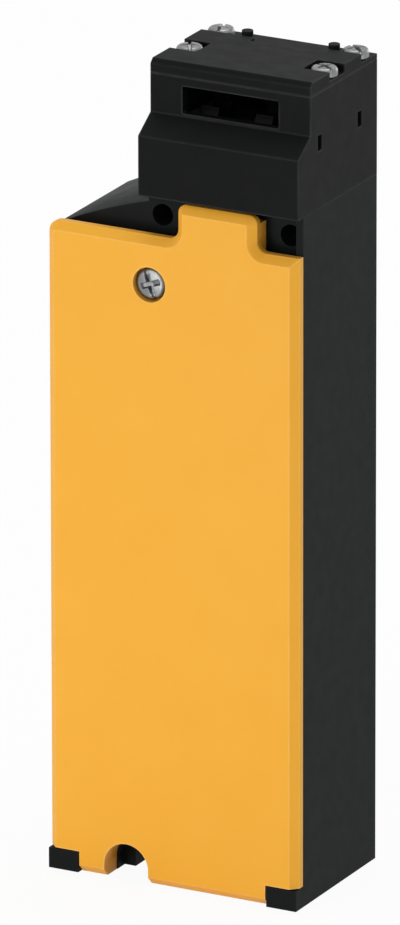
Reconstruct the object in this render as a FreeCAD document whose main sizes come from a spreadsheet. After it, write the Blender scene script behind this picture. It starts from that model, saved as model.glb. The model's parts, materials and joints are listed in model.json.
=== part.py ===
import FreeCAD, Part

import math
import os
import re

import Sketcher

# ---------------------------------------------------------------------------
# Tongue interlock switch with guard locking.
#
# Frame: X runs across the switch, Y from the yellow cover (front, -Y) to the
# mounting face (back, +Y), Z up.  The origin is the middle of the base.
# Every size is in millimetres and lives in the sheet "Sizes"; shapes are bound
# to its cells, so a changed cell moves everything that depends on it.  A size
# that hangs on others is given as a formula over them.
# ---------------------------------------------------------------------------

SIZES = {
    # housing
    "body_width": 53.0,
    "body_depth": 33.0,
    "seat_height": 137.2,
    "shoulder_drop": 9.4,
    "shoulder_low": "=seat_height - shoulder_drop",
    "shoulder_step": 2.3,
    "shoulder_high": "=seat_height - shoulder_step",
    "shoulder_radius": 100.0,
    "wall": 3.2,
    "floor_wall": 10.4,
    "neck_height": 12.2,
    "back_skin": 1.0,
    "flange_depth": 2.8,
    "face_depth": 5.1,
    "lip_wall": 1.5,
    "foot_width": 6.4,
    "foot_height": 4.1,
    "joint_gap": 0.2,
    # fixings
    "fixing_radius": 2.15,
    "fixing_drop": 4.6,
    "fixing_height": "=seat_height - fixing_drop",
    "fixing_spacing": 27.0,
    "fixing_left": "=fixing_right - fixing_spacing",
    "fixing_edge": 3.8,
    "fixing_right": "=body_width / 2 - fixing_edge",
    "low_fixing_edge": 16.66,
    "low_fixing_across": "=low_fixing_edge - body_width / 2",
    "low_fixing_height": 2.8,
    "arch_radius": 4.7,
    "arch_recess": 3.0,
    "cut_over": 1.0,
    "boss_radius": 3.5,
    # cable entry
    "entry_radius": 9.25,
    "entry_edge": 16.0,
    "entry_across": "=body_width / 2 - entry_edge",
    # cover
    "cover_drop": 7.6,
    "cover_shoulder": "=seat_height - cover_drop",
    "cover_bevel": 1.5,
    "cover_corner": 2.3,
    "tab_drop": 0.6,
    "tab_top": "=seat_height - tab_drop",
    "tab_width": 16.6,
    "tab_left": "=tab_right - tab_width",
    "tab_edge": 9.0,
    "tab_right": "=body_width / 2 - tab_edge",
    "tab_corner": 1.7,
    "tab_root": 2.0,
    "cover_skin": 2.2,
    "cover_screw_offset": 14.2,
    "cover_screw_across": "=body_width / 2 - head_width / 2 - cover_screw_offset",
    "cover_screw_drop": 17.0,
    "cover_screw_height": "=seat_height - cover_screw_drop",
    "cover_screw_head": 3.25,
    "cover_screw_shank": 1.75,
    "cover_screw_length": 12.0,
    "cover_screw_sink": 2.2,
    "cover_boss": 4.5,
    "boss_gap": 0.9,
    "gasket_thick": 0.8,
    "insert_length": 6.0,
    "insert_wall": 0.9,
    "screw_gap": 0.05,
    # head
    "head_width": 33.8,
    "head_setback": 0.85,
    "upper_setback": 5.85,
    "lower_block_height": 11.8,
    "lower_block_top": "=seat_height + lower_block_height",
    "slope_height": 3.3,
    "upper_block_base": "=lower_block_top + slope_height",
    "upper_block_height": 7.7,
    "lid_seam": "=upper_block_base + upper_block_height",
    "lid_thick": 2.7,
    "head_top": "=lid_seam + lid_thick",
    "head_bevel": 0.9,
    "chamber_sides": 6.0,
    "chamber_width": "=head_width - chamber_sides * 2",
    "slot_wall": 1.65,
    "chamber_front": "=upper_setback + slot_wall",
    "chamber_wall": 5.5,
    "chamber_back": "=body_depth - chamber_wall",
    "slot_sides": 0.8,
    "slot_width": "=chamber_width - slot_sides * 2",
    "slot_sill": 0.6,
    "slot_low": "=upper_block_base + slot_sill",
    "slot_height": 5.3,
    "slot_high": "=slot_low + slot_height",
    "seal_thick": 0.8,
    "seal_inset": 1.4,
    "seal_width": 1.8,
    "ledge_thick": 1.0,
    "ledge_height": "=lid_seam + ledge_thick",
    "notch_reach": 5.7,
    "notch_length": 5.9,
    "lid_screw_side": 2.7,
    "lid_screw_spread": "=head_width - lid_screw_side * 2",
    "lid_screw_pitch": 12.8,
    "lid_screw_front": "=lid_screw_back - lid_screw_pitch",
    "lid_screw_edge": 3.6,
    "lid_screw_back": "=body_depth - lid_screw_edge",
    "lid_screw_head": 2.6,
    "lid_screw_head_height": 1.9,
    "lid_screw_shank": 1.5,
    "lid_screw_length": 10.0,
    "scoop_depth": 2.3,
    "scoop_left": 11.3,
    "scoop_right": 24.5,
    "post_radius": 1.1,
    "post_height": 0.6,
    "post_left": 8.9,
    "post_right": 27.2,
    "post_edge": 4.8,
    "post_back": "=body_depth - post_edge",
    # rotor and its carrier
    "rotor_offset": 0.2,
    "rotor_depth": "=(chamber_front + chamber_back) / 2 + rotor_offset",
    "rotor_rise": 10.8,
    "rotor_height": "=seat_height + rotor_rise",
    "rotor_room": 1.4,
    "rotor_radius": "=(chamber_back - chamber_front) / 2 - rotor_room",
    "rotor_side_room": 1.6,
    "rotor_length": "=slot_width - rotor_side_room * 2",
    "hub_step": 0.4,
    "hub_radius": "=cam_low - hub_step",
    "axle_radius": 2.0,
    "running_gap": 0.05,
    "disc_width": 3.6,
    "cam_width": 5.0,
    "cam_high": "=rotor_radius - running_gap * 4",
    "cam_drop": 4.0,
    "cam_low": "=cam_high - cam_drop",
    "cam_sweep": 50.0,
    "cam_dwell": 40.0,
    "bar_notch_width": 3.6,
    "notch_floor": 0.5,
    "bar_notch_root": "=cam_low + notch_floor",
    "bar_notch_lean": 40.0,
    "carrier_wall": 1.8,
    "carrier_base": 1.6,
    "carrier_gap": 0.3,
    "carrier_height": 14.8,
    "tab_inset": 3.7,
    "tab_spacing": "=chamber_back - chamber_front - tab_inset",
    "tab_rise": 2.1,
    "tab_level": "=rotor_height + tab_rise",
    "window_length": 1.6,
    "window_height": 3.0,
    "tab_reach": 4.0,
    "tab_gap": 0.15,
    "boss_inset": 2.3,
    "boss_back": "=chamber_back - rotor_depth - boss_inset",
    "boss_spread": 13.8,
    "carrier_boss_radius": 2.0,
    "carrier_boss_height": 2.0,
    "carrier_screw_radius": 1.25,
    "leg_wire": 0.4,
    "leg_gap": 1.0,
    "leg_coil_radius": "=hub_radius + leg_gap",
    "leg_height": 7.6,
    "leg_inset": 0.76,
    "leg_pitch": 0.64,
    # push rod
    "rod_radius": 2.5,
    "rod_low_radius": 3.0,
    "rod_gap": 0.8,
    "rod_tip": 2.0,
    "rod_tip_radius": 0.5,
    "rod_step_drop": 5.0,
    "rod_step_height": "=seat_height - neck_height - rod_step_drop",
    "rod_sink": 1.9,
    "rod_bottom": "=block_top - rod_sink",
    "rod_notch_depth": 1.9,
    "rod_notch_height": 4.4,
    "bush_wall": 1.6,
    "bush_length": 6.0,
    "boot_radius": 5.5,
    "boot_length": 3.0,
    "boot_gap": 0.3,
    # switch block
    "block_inset": 0.9,
    "block_width": "=slot_width - block_inset * 2",
    "wire_room": 3.9,
    "block_front": "=face_depth + wire_room",
    "chassis_room": 1.8,
    "block_back": "=body_depth - wall - chassis_room - chassis_thick",
    "block_height": 44.0,
    "block_base": "=block_top - block_height",
    "block_drop": 37.2,
    "block_top": "=seat_height - block_drop",
    "block_floor": 2.3,
    "ear_width": 4.2,
    "ear_thick": 3.0,
    "slide_width": 8.0,
    "slide_tail": 2.8,
    "slide_depth": "=slide_reach + slide_tail",
    "slide_reach": 4.7,
    "slide_front": "=rotor_depth - slide_reach",
    "spring_room": 14.5,
    "slide_base": "=block_base + spring_room",
    "slide_gap": 0.4,
    "bridge_rise": 20.0,
    "bridge_low": "=block_base + bridge_rise",
    "bridge_pitch": 11.0,
    "bridge_thick": 1.0,
    "bridge_length": 16.0,
    "bridge_depth": 3.6,
    "bridge_play": 1.0,
    "contact_gap": 0.3,
    "strip_thick": 0.8,
    "strip_width": 3.4,
    "terminal_rise": 4.2,
    "terminal_head": 2.5,
    "terminal_shank": 1.4,
    "slide_spring_radius": 2.6,
    "slide_spring_wire": 0.35,
    # chassis and solenoid
    "chassis_left": 3.6,
    "chassis_edge": 1.0,
    "chassis_right": "=solenoid_across + frame_width / 2 + chassis_edge",
    "chassis_rise": 11.6,
    "chassis_low": "=floor_wall + chassis_rise",
    "chassis_drop": 25.2,
    "chassis_high": "=seat_height - chassis_drop",
    "chassis_thick": 1.5,
    "frame_across": 4.0,
    "solenoid_across": "=frame_across + frame_width / 2",
    "frame_rise": 8.0,
    "frame_low": "=chassis_low + frame_rise",
    "lever_room": 14.0,
    "frame_high": "=lever_height - lever_room",
    "frame_thick": 2.0,
    "frame_gap": 1.9,
    "frame_width": "=body_width - head_width / 2 - block_width / 2 - frame_across - frame_gap",
    "frame_depth": 17.6,
    "winding_gap": 0.3,
    "winding_radius": "=block_back - rotor_depth - winding_gap * 2",
    "bobbin_gap": 0.25,
    "bobbin_bore": "=armature_radius + bobbin_gap",
    "bobbin_wall": 1.0,
    "bobbin_flange": 1.2,
    "armature_radius": 4.0,
    "core_height": 21.5,
    "armature_low": "=frame_low + core_height",
    "armature_travel": 2.5,
    "armature_air": 0.5,
    "return_room": 6.0,
    "collar_height": "=frame_high + return_room",
    "collar_step": 2.0,
    "collar_radius": "=armature_radius + collar_step",
    "collar_thick": 1.2,
    "return_wire": 0.4,
    "lever_drop": 45.2,
    "lever_height": "=seat_height - lever_drop",
    "lever_arm": 6.5,
    "lever_pivot_across": "=solenoid_across + lever_arm",
    "lever_pin_radius": 1.5,
    "lever_thick": 3.0,
    "lever_half_bar": 2.4,
    "lever_side_gap": 0.3,
    "clevis_gap": 0.2,
    "cross_pin_radius": 1.0,
    "nose_rise": 14.0,
    "nose_height": "=lever_height + nose_rise",
    "nose_half": 1.4,
    "nose_gap": 0.3,
    "chassis_screw_radius": 1.5,
    "chassis_screw_head": 2.7,
    # supply terminals
    "supply_width": 18.0,
    "supply_depth": 11.5,
    "supply_front": "=block_back - supply_depth",
    "supply_rise": 13.6,
    "supply_low": "=floor_wall + supply_rise",
    "supply_height": 14.0,
    "supply_pitch": 9.0,
}

doc = FreeCAD.newDocument("tongue_interlock_switch")
sheet = doc.addObject("Spreadsheet::Sheet", "Sizes")
for row, alias in enumerate(SIZES, start=1):
    sheet.set(f"A{row}", alias)
    sheet.setAlias(f"B{row}", alias)
for row, size in enumerate(SIZES.values(), start=1):
    sheet.set(f"B{row}", str(size))
doc.recompute()

ALIAS = re.compile(r"\b(" + "|".join(sorted(SIZES, key=len, reverse=True)) + r")\b")


# ---------------------------------------------------------------------------
# Places that several pieces share, as expressions over the sheet
# ---------------------------------------------------------------------------

LEFT = "(0 - body_width / 2)"
RIGHT = "(body_width / 2)"
FRONT = "(0 - body_depth / 2)"
BACK = "(body_depth / 2)"


def deep(distance):
    """Y of a plane at a distance behind the cover's front plane."""
    return f"({FRONT} + {distance})"


def across(distance):
    """X of a plane at a distance from the housing's left side."""
    return f"({LEFT} + {distance})"


RIM = deep("flange_depth")
FACE = deep("face_depth")
HEAD_X = "(body_width / 2 - head_width / 2)"
HEAD_LEFT = "(body_width / 2 - head_width)"
CAVITY_TOP = "(seat_height - neck_height)"
CAVITY_BACK = f"({BACK} - wall)"
ROTOR_Y = deep("rotor_depth")
CHASSIS_FRONT = deep("block_back")
CHASSIS_BACK = f"({CHASSIS_FRONT} + chassis_thick)"
CAM_LIFT = "(cam_high - cam_low)"
ROD_TOP = "(rotor_height - cam_high - rod_gap)"
SOLENOID_X = across("solenoid_across")
PIVOT_X = across("lever_pivot_across")
CARRIER_HALF = "(chamber_width / 2 - carrier_gap)"
CORNER_SCREWS = [
    (f"({HEAD_X} {sign} lid_screw_spread / 2)", deep(depth))
    for sign in "-+"
    for depth in ("lid_screw_front", "lid_screw_back")
]


# ---------------------------------------------------------------------------
# Building blocks bound to the sheet
# ---------------------------------------------------------------------------

def bound(expression):
    """Points every alias in an expression at its cell in the sheet."""
    return ALIAS.sub(r"Sizes.\1", str(expression))


def bind(item, **sizes):
    """Binds properties of an object to expressions."""
    for prop, expression in sizes.items():
        item.setExpression(prop, bound(expression))


def place(item, x, y, z):
    """Binds an object's position to three expressions."""
    for axis, expression in zip("xyz", (x, y, z)):
        item.setExpression(f"Placement.Base.{axis}", bound(expression))


def extent(span):
    """The length between a pair of expressions."""
    return f"({span[1]}) - ({span[0]})"


def box(x, y, z):
    """A box between pairs of expressions along each axis."""
    item = doc.addObject("Part::Box", "Box")
    bind(item, Length=extent(x), Width=extent(y), Height=extent(z))
    place(item, x[0], y[0], z[0])
    return item


TURNS = {
    "x": FreeCAD.Rotation(FreeCAD.Vector(0, 1, 0), 90),
    "y": FreeCAD.Rotation(FreeCAD.Vector(1, 0, 0), -90),
    "z": FreeCAD.Rotation(),
}


def rod(axis, centre, span, radius):
    """A cylinder along an axis, centred at two expressions and spanning two more."""
    item = doc.addObject("Part::Cylinder", "Rod")
    item.Placement = FreeCAD.Placement(FreeCAD.Vector(), TURNS[axis])
    bind(item, Radius=radius, Height=extent(span))
    place(item, *spot(axis, centre, span[0]))
    return item


def spot(axis, centre, along):
    """Three coordinates from two centre expressions and one along the axis."""
    coordinates = list(centre)
    coordinates.insert("xyz".index(axis), along)
    return coordinates


def taper(axis, centre, span, radius, end_radius):
    """A cone along an axis from one radius to another."""
    item = doc.addObject("Part::Cone", "Taper")
    item.Placement = FreeCAD.Placement(FreeCAD.Vector(), TURNS[axis])
    bind(item, Radius1=radius, Radius2=end_radius, Height=extent(span))
    place(item, *spot(axis, centre, span[0]))
    return item


def ring(axis, centre, along, radius, wire):
    """A torus about an axis, for a turn of spring wire."""
    item = doc.addObject("Part::Torus", "Ring")
    item.Placement = FreeCAD.Placement(FreeCAD.Vector(), TURNS[axis])
    bind(item, Radius1=radius, Radius2=wire)
    place(item, *spot(axis, centre, along))
    return item


def fuse(*pieces):
    """The union of several solids."""
    item = doc.addObject("Part::MultiFuse", "Joined")
    item.Shapes = list(pieces)
    item.Refine = True
    return item


def cut(base, *tools):
    """A solid with other solids taken out of it."""
    item = doc.addObject("Part::Cut", "Shaped")
    item.Base = base
    item.Tool = tools[0] if len(tools) == 1 else fuse(*tools)
    item.Refine = True
    return item


def group(*pieces):
    """Identical loose solids that share a sub-part."""
    item = doc.addObject("Part::Compound", "Set")
    item.Links = list(pieces)
    return item


def tube(axis, centre, span, radius, bore):
    """A cylinder with a bore right through."""
    return cut(rod(axis, centre, span, radius), rod(axis, centre, span, bore))


def plane_of(body, role):
    """The body's own origin plane with a role, such as XZ_Plane."""
    return next(item for item in body.Origin.OriginFeatures if item.Role == role)


def outline(body, role, offset, points):
    """A closed, fully placed polygon sketch; each point is a pair of expressions."""
    sketch = body.newObject("Sketcher::SketchObject", "Outline")
    sketch.AttachmentSupport = [(plane_of(body, role), "")]
    sketch.MapMode = "FlatFace"
    sketch.setExpression("AttachmentOffset.Base.z", bound(offset))
    corners = [FreeCAD.Vector(math.cos(turn), math.sin(turn), 0) * len(points) for turn in
               (2 * math.pi * index / len(points) for index in range(len(points)))]
    count = len(points)
    for index in range(count):
        sketch.addGeometry(Part.LineSegment(corners[index], corners[(index + 1) % count]))
    for index in range(count):
        sketch.addConstraint(Sketcher.Constraint("Coincident", index, 2, (index + 1) % count, 1))
    for index, pair in enumerate(points):
        for kind, expression in zip(("DistanceX", "DistanceY"), pair):
            number = sketch.addConstraint(Sketcher.Constraint(kind, -1, 1, index, 1, 1.0 + index))
            sketch.setExpression(f"Constraints[{number}]", bound(expression))
    return sketch


def pad(body, sketch, length, reverse=False):
    """A pad of a sketch by a length expression."""
    feature = body.newObject("PartDesign::Pad", "Pad")
    feature.Profile = sketch
    feature.Reversed = reverse
    bind(feature, Length=length)
    body.Tip = feature
    return feature


def plate(points, y):
    """A PartDesign body: an XZ outline padded from one Y plane to another."""
    body = doc.addObject("PartDesign::Body", "Plate")
    pad(body, outline(body, "XZ_Plane", f"0 - {y[0]}", points), extent(y), reverse=True)
    return body


def bar(points, x):
    """A PartDesign body: a YZ outline padded from one X plane to another."""
    body = doc.addObject("PartDesign::Body", "Bar")
    pad(body, outline(body, "YZ_Plane", x[0], points), extent(x))
    return body


def edges_where(feature, test):
    """Names of a feature's edges whose middle point passes a test."""
    doc.recompute()
    names = []
    for index, edge in enumerate(feature.Shape.Edges, start=1):
        first, last = edge.ParameterRange
        if test(edge.valueAt((first + last) / 2), edge):
            names.append(f"Edge{index}")
    return names


def dress(body, kind, size, test):
    """A fillet or chamfer on the edges of a body's tip that pass a test."""
    base = body.Tip
    names = edges_where(base, test)
    feature = body.newObject(f"PartDesign::{kind}", kind)
    feature.Base = (base, names)
    bind(feature, **{"Radius" if kind == "Fillet" else "Size": size})
    body.Tip = feature
    return feature


def value(expression):
    """The number that an expression over the sheet gives, for places read in code."""
    return float(sheet.evalExpression(bound(expression).replace("Sizes.", "")))


SUB_PARTS = []


def sub_part(label, item):
    """Names a finished piece; its label is the name of its node and its file."""
    item.Label = label
    SUB_PARTS.append(item)
    return item


def screw(axis, centre, seat, sign, head, head_height, shank, length):
    """A pan head screw with a cross recess; its shank runs against sign from the seat."""
    top = f"({seat} {sign} {head_height})"
    tip = f"({seat} {'-' if sign == '+' else '+'} {length})"
    spans = [(seat, top), (tip, seat)] if sign == "+" else [(top, seat), (seat, tip)]
    body = fuse(rod(axis, centre, spans[0], head), rod(axis, centre, spans[1], shank))
    low = f"({top} - {head_height} / 2)" if sign == "+" else top
    high = top if sign == "+" else f"({top} + {head_height} / 2)"
    return cut(body, *recess(axis, centre, (low, high), head))


def recess(axis, centre, span, head):
    """Two crossed slots that make a driver recess in a screw head."""
    arms = []
    for long_side in (0, 1):
        reach = [f"{head} / 7", f"{head} / 7"]
        reach[long_side] = f"{head} * 0.6"
        pairs = [(f"{mid} - {half}", f"{mid} + {half}") for mid, half in zip(centre, reach)]
        pairs.insert("xyz".index(axis), span)
        arms.append(box(*pairs))
    return arms


def spring(centre, low, high, radius, wire, turns):
    """A helical compression spring standing on Z, from its free length and turns."""
    bottom = value(f"{low} + {wire}")
    height = value(f"{high} - {low} - 2 * {wire}")
    coil_radius = value(radius)
    helix = Part.makeHelix(height / turns, height, coil_radius)
    start = FreeCAD.Vector(coil_radius, 0, 0)
    section = Part.Wire(Part.makeCircle(value(wire), start, FreeCAD.Vector(0, 1, 0)))
    item = doc.addObject("Part::Feature", "Spring")
    item.Shape = Part.Wire(helix).makePipeShell([section], True, True)
    item.Placement.Base = FreeCAD.Vector(value(centre[0]), value(centre[1]), bottom)
    return item


# ---------------------------------------------------------------------------
# Places of fasteners
# ---------------------------------------------------------------------------

COVER_SCREW = ("cover_screw_across", "cover_screw_height")
SCREW_BOSS_FRONT = deep("(face_depth + boss_gap)")
CHASSIS_SCREWS = [
    (across("(chassis_left + boss_radius)"), "(chassis_low + boss_radius)"),
    (across("(chassis_right - boss_radius)"), "(chassis_low + boss_radius)"),
    (across("(chassis_left + boss_radius)"), "(chassis_high - boss_radius)"),
]
EAR_X = f"({HEAD_X} + block_width / 2 + ear_width / 2)"
EAR_SCREWS = [(EAR_X, "(block_base + boss_radius)"), (EAR_X, "(block_top - boss_radius)")]
SUPPLY_X = HEAD_X
SUPPLY_SCREWS = [(SUPPLY_X, "(supply_low + supply_height / 2)")]
SUPPORTS = (
    [(point, CHASSIS_BACK) for point in CHASSIS_SCREWS]
    + [(point, CHASSIS_FRONT) for point in EAR_SCREWS + SUPPLY_SCREWS]
)
CARRIER_SCREWS = [(f"({HEAD_X} {sign} boss_spread / 2)", f"({ROTOR_Y} + boss_back)") for sign in "-+"]
BOOT_LOW = "(seat_height - seal_thick - boot_length)"
BUSH_LOW = "(seat_height - seal_thick - boot_length - bush_length)"


# ---------------------------------------------------------------------------
# Housing
# ---------------------------------------------------------------------------

def housing_blank():
    """The housing's outline with its sloping left shoulder, padded to the back."""
    body = doc.addObject("PartDesign::Body", "HousingBlank")
    points = [(LEFT, "0"), (RIGHT, "0"), (RIGHT, "seat_height"), (HEAD_LEFT, "seat_height"),
              (HEAD_LEFT, "shoulder_high"), (LEFT, "shoulder_low")]
    pad(body, outline(body, "XZ_Plane", f"0 - {RIM}", points), f"{BACK} - {RIM}", reverse=True)
    return body


def shoulder_crown():
    """The slight arch over the shoulder: a disc segment between its two ends."""
    low = FreeCAD.Vector(value(LEFT), 0, value("shoulder_low"))
    high = FreeCAD.Vector(value(HEAD_LEFT), 0, value("shoulder_high"))
    radius = value("shoulder_radius")
    chord = high - low
    rise = radius - math.sqrt(radius ** 2 - (chord.Length / 2) ** 2)
    up = FreeCAD.Vector(-chord.z, 0, chord.x).normalize()
    middle = low + chord / 2 + up * rise
    face = Part.Face(Part.Wire([Part.Arc(low, middle, high).toShape(), Part.makeLine(high, low)]))
    item = doc.addObject("Part::Feature", "ShoulderCrown")
    item.Shape = face.extrude(FreeCAD.Vector(0, value(f"{BACK} - {RIM}"), 0))
    place(item, "0", RIM, "0")
    return item


def seal_ring():
    """The flat seal between the housing's neck and the head."""
    outer = box((f"({HEAD_LEFT} + seal_inset)", f"({RIGHT} - seal_inset)"),
                (deep("(face_depth + seal_inset)"), f"({BACK} - seal_inset)"),
                ("(seat_height - seal_thick)", "seat_height"))
    edge = "seal_inset + seal_width"
    inner = box((f"({HEAD_LEFT} + {edge})", f"({RIGHT} - {edge})"),
                (deep(f"(face_depth + {edge})"), f"({BACK} - {edge})"),
                ("(seat_height - seal_thick)", "seat_height"))
    return cut(outer, inner)


def low_fixing(y, half_width):
    """The open-ended slot at the foot: a round end with a straight run down."""
    x = "low_fixing_across"
    return [
        rod("y", (x, "low_fixing_height"), y, half_width),
        box((f"({x} - {half_width})", f"({x} + {half_width})"), y, ("0", "low_fixing_height")),
    ]


def make_housing():
    """The black housing: one moulding with its bosses, cable entry and fixing holes."""
    inside = box((across("wall"), f"({RIGHT} - wall)"), (FACE, CAVITY_BACK), ("floor_wall", CAVITY_TOP))
    front_step = box((across("lip_wall"), f"({RIGHT} - lip_wall)"), (RIM, FACE), ("0", "seat_height"))
    shell = cut(fuse(housing_blank(), shoulder_crown()), inside, front_step)
    feet = [box(side, (FRONT, FACE), ("0", "foot_height")) for side in
            ((LEFT, across("foot_width")), (f"({RIGHT} - foot_width)", RIGHT))]
    screw_boss = rod("y", COVER_SCREW, (SCREW_BOSS_FRONT, BACK), "cover_boss")
    bosses = [rod("y", point, (front, BACK), "boss_radius") for point, front in SUPPORTS]
    whole = fuse(shell, screw_boss, *feet, *bosses)
    fixings = [rod("y", (x, "fixing_height"), (RIM, BACK), "fixing_radius")
               for x in ("fixing_left", "fixing_right")]
    arch = low_fixing((RIM, deep("(face_depth + arch_recess)")), "(arch_radius - joint_gap)")
    neck = [
        rod("z", (HEAD_X, ROTOR_Y), (CAVITY_TOP, "seat_height"), "(rod_radius + boot_gap)"),
        rod("z", (HEAD_X, ROTOR_Y), (BUSH_LOW, "seat_height"), "(rod_radius + bush_wall)"),
        rod("z", (HEAD_X, ROTOR_Y), (BOOT_LOW, "seat_height"), "boot_radius"),
    ]
    clearances = [rod("z", point, (CAVITY_TOP, "seat_height"), "(carrier_screw_radius + running_gap)")
                  for point in CARRIER_SCREWS]
    threads = [rod("y", point, (front, f"({BACK} - back_skin)"), "(chassis_screw_radius + screw_gap)")
               for point, front in SUPPORTS]
    return sub_part("housing", cut(
        whole,
        rod("z", ("entry_across", ROTOR_Y), ("0", "floor_wall"), "entry_radius"),
        rod("y", COVER_SCREW, (SCREW_BOSS_FRONT, f"({BACK} - back_skin)"),
            "(cover_screw_shank + insert_wall)"),
        *fixings, *arch, *low_fixing((RIM, BACK), "fixing_radius"), *neck, seal_ring(),
        *clearances, *threads))


# ---------------------------------------------------------------------------
# Cover
# ---------------------------------------------------------------------------

def cover_plate():
    """The cover's bevelled front plate with its top tab."""
    points = [(LEFT, "0"), (RIGHT, "0"), (RIGHT, "cover_shoulder"), ("tab_right", "cover_shoulder"),
              ("tab_right", "tab_top"), ("tab_left", "tab_top"), ("tab_left", "cover_shoulder"),
              (LEFT, "cover_shoulder")]
    body = plate(points, (FRONT, RIM))
    tab_top, shoulder = value("tab_top"), value("cover_shoulder")
    tab_sides = (value("tab_left"), value("tab_right"))

    def upright(edge):
        return abs(edge.tangentAt(edge.FirstParameter).y) > 0.99

    def at(point, x, z):
        return abs(point.x - x) < 1e-3 and abs(point.z - z) < 1e-3

    dress(body, "Fillet", "tab_corner",
          lambda point, edge: upright(edge) and any(at(point, x, tab_top) for x in tab_sides))
    dress(body, "Fillet", "tab_root",
          lambda point, edge: upright(edge) and any(at(point, x, shoulder) for x in tab_sides))
    dress(body, "Fillet", "cover_corner",
          lambda point, edge: upright(edge) and at(point, value(LEFT), shoulder))
    front = value(FRONT)
    dress(body, "Chamfer", "cover_bevel",
          lambda point, edge: abs(point.y - front) < 1e-3 and not upright(edge))
    return body


def make_cover():
    """The yellow cover: bevelled plate, stepped lip, foot band, tab and screw boss."""
    inset = "(lip_wall + joint_gap)"
    lip_back = f"({FACE} - gasket_thick)"
    lip = box((across(inset), f"({RIGHT} - {inset})"), (RIM, lip_back),
              ("floor_wall - lip_wall", f"(cover_shoulder - {inset})"))
    foot_band = box((across("(foot_width + joint_gap)"), f"({RIGHT} - foot_width - joint_gap)"),
                    (RIM, FACE), ("0", "(floor_wall - lip_wall)"))
    tab = box(("tab_left", "tab_right"), (RIM, FACE),
              (f"(cover_shoulder - {inset})", "(tab_top - tab_corner)"))
    screw_boss = rod("y", COVER_SCREW, (RIM, f"({SCREW_BOSS_FRONT} - joint_gap)"), "cover_boss")
    hollow = cut(
        box((across("wall"), f"({RIGHT} - wall)"), (deep("cover_skin"), lip_back),
            ("floor_wall", f"({CAVITY_TOP} - joint_gap)")),
        rod("y", COVER_SCREW, (deep("cover_skin"), lip_back), "cover_boss"))
    foot_top = "(foot_height + joint_gap)"
    notches = [box(side, (FRONT, FACE), ("0", foot_top)) for side in
               ((LEFT, across("(foot_width + joint_gap)")),
                (f"({RIGHT} - foot_width - joint_gap)", RIGHT))]
    seat = deep("cover_screw_sink")
    return sub_part("front_cover", cut(
        fuse(cut(fuse(cover_plate(), lip), hollow), foot_band, tab, screw_boss),
        *notches,
        *low_fixing((FRONT, FACE), "arch_radius"),
        rod("y", COVER_SCREW, (FRONT, seat), "(cover_screw_head + joint_gap)"),
        rod("y", COVER_SCREW, (FRONT, SCREW_BOSS_FRONT), "(cover_screw_shank + joint_gap)")))


def make_cover_fittings():
    """The cover's gasket, its screw and the threaded insert that the screw holds in."""
    edge = "(lip_wall + joint_gap)"
    gasket_y = (f"({FACE} - gasket_thick)", FACE)
    outer = box((across(edge), f"({RIGHT} - {edge})"), gasket_y,
                ("(floor_wall - lip_wall)", f"({CAVITY_TOP} + lip_wall)"))
    inner = box((across("wall"), f"({RIGHT} - wall)"), gasket_y, ("floor_wall", CAVITY_TOP))
    sub_part("cover_gasket", cut(outer, inner))
    sub_part("cover_screw", screw("y", COVER_SCREW, deep("cover_screw_sink"), "-", "cover_screw_head",
                                  "(cover_screw_sink - joint_gap)", "cover_screw_shank",
                                  "cover_screw_length"))
    sub_part("cover_screw_insert", tube("y", COVER_SCREW,
                                        (SCREW_BOSS_FRONT, f"({SCREW_BOSS_FRONT} + insert_length)"),
                                        "(cover_screw_shank + insert_wall)",
                                        "(cover_screw_shank + screw_gap)"))


# ---------------------------------------------------------------------------
# Head
# ---------------------------------------------------------------------------

def windows(reach, half_length, half_height):
    """Four blocks at the carrier's snap windows, two on each side of the head."""
    blocks = []
    for offset in ("- tab_spacing / 2", "+ tab_spacing / 2"):
        y = (f"({ROTOR_Y} {offset} - {half_length})", f"({ROTOR_Y} {offset} + {half_length})")
        z = (f"(tab_level - {half_height})", f"(tab_level + {half_height})")
        blocks.append(box((f"({HEAD_X} - {reach})", f"({HEAD_X} - {CARRIER_HALF})"), y, z))
        blocks.append(box((f"({HEAD_X} + {CARRIER_HALF})", f"({HEAD_X} + {reach})"), y, z))
    return blocks


def make_head_housing():
    """The head: stepped block with the tongue slot, rotor chamber and snap windows."""
    points = [(deep("head_setback"), "seat_height"), (BACK, "seat_height"), (BACK, "lid_seam"),
              (deep("upper_setback"), "lid_seam"), (deep("upper_setback"), "upper_block_base"),
              (deep("head_setback"), "lower_block_top")]
    chamber = box((f"({HEAD_X} - chamber_width / 2)", f"({HEAD_X} + chamber_width / 2)"),
                  (deep("chamber_front"), deep("chamber_back")), ("seat_height", "lid_seam"))
    slot = box((f"({HEAD_X} - slot_width / 2)", f"({HEAD_X} + slot_width / 2)"),
               (deep("head_setback"), deep("chamber_front")), ("slot_low", "slot_high"))
    threads = [rod("z", point, ("(ledge_height - lid_screw_length)", "lid_seam"),
                   "(lid_screw_shank + insert_wall / 2)") for point in CORNER_SCREWS]
    openings = windows("head_width / 2", "window_length / 2", "window_height / 2")
    return sub_part("head_housing", cut(bar(points, (HEAD_LEFT, RIGHT)), chamber, slot,
                                        *threads, *openings))


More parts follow.
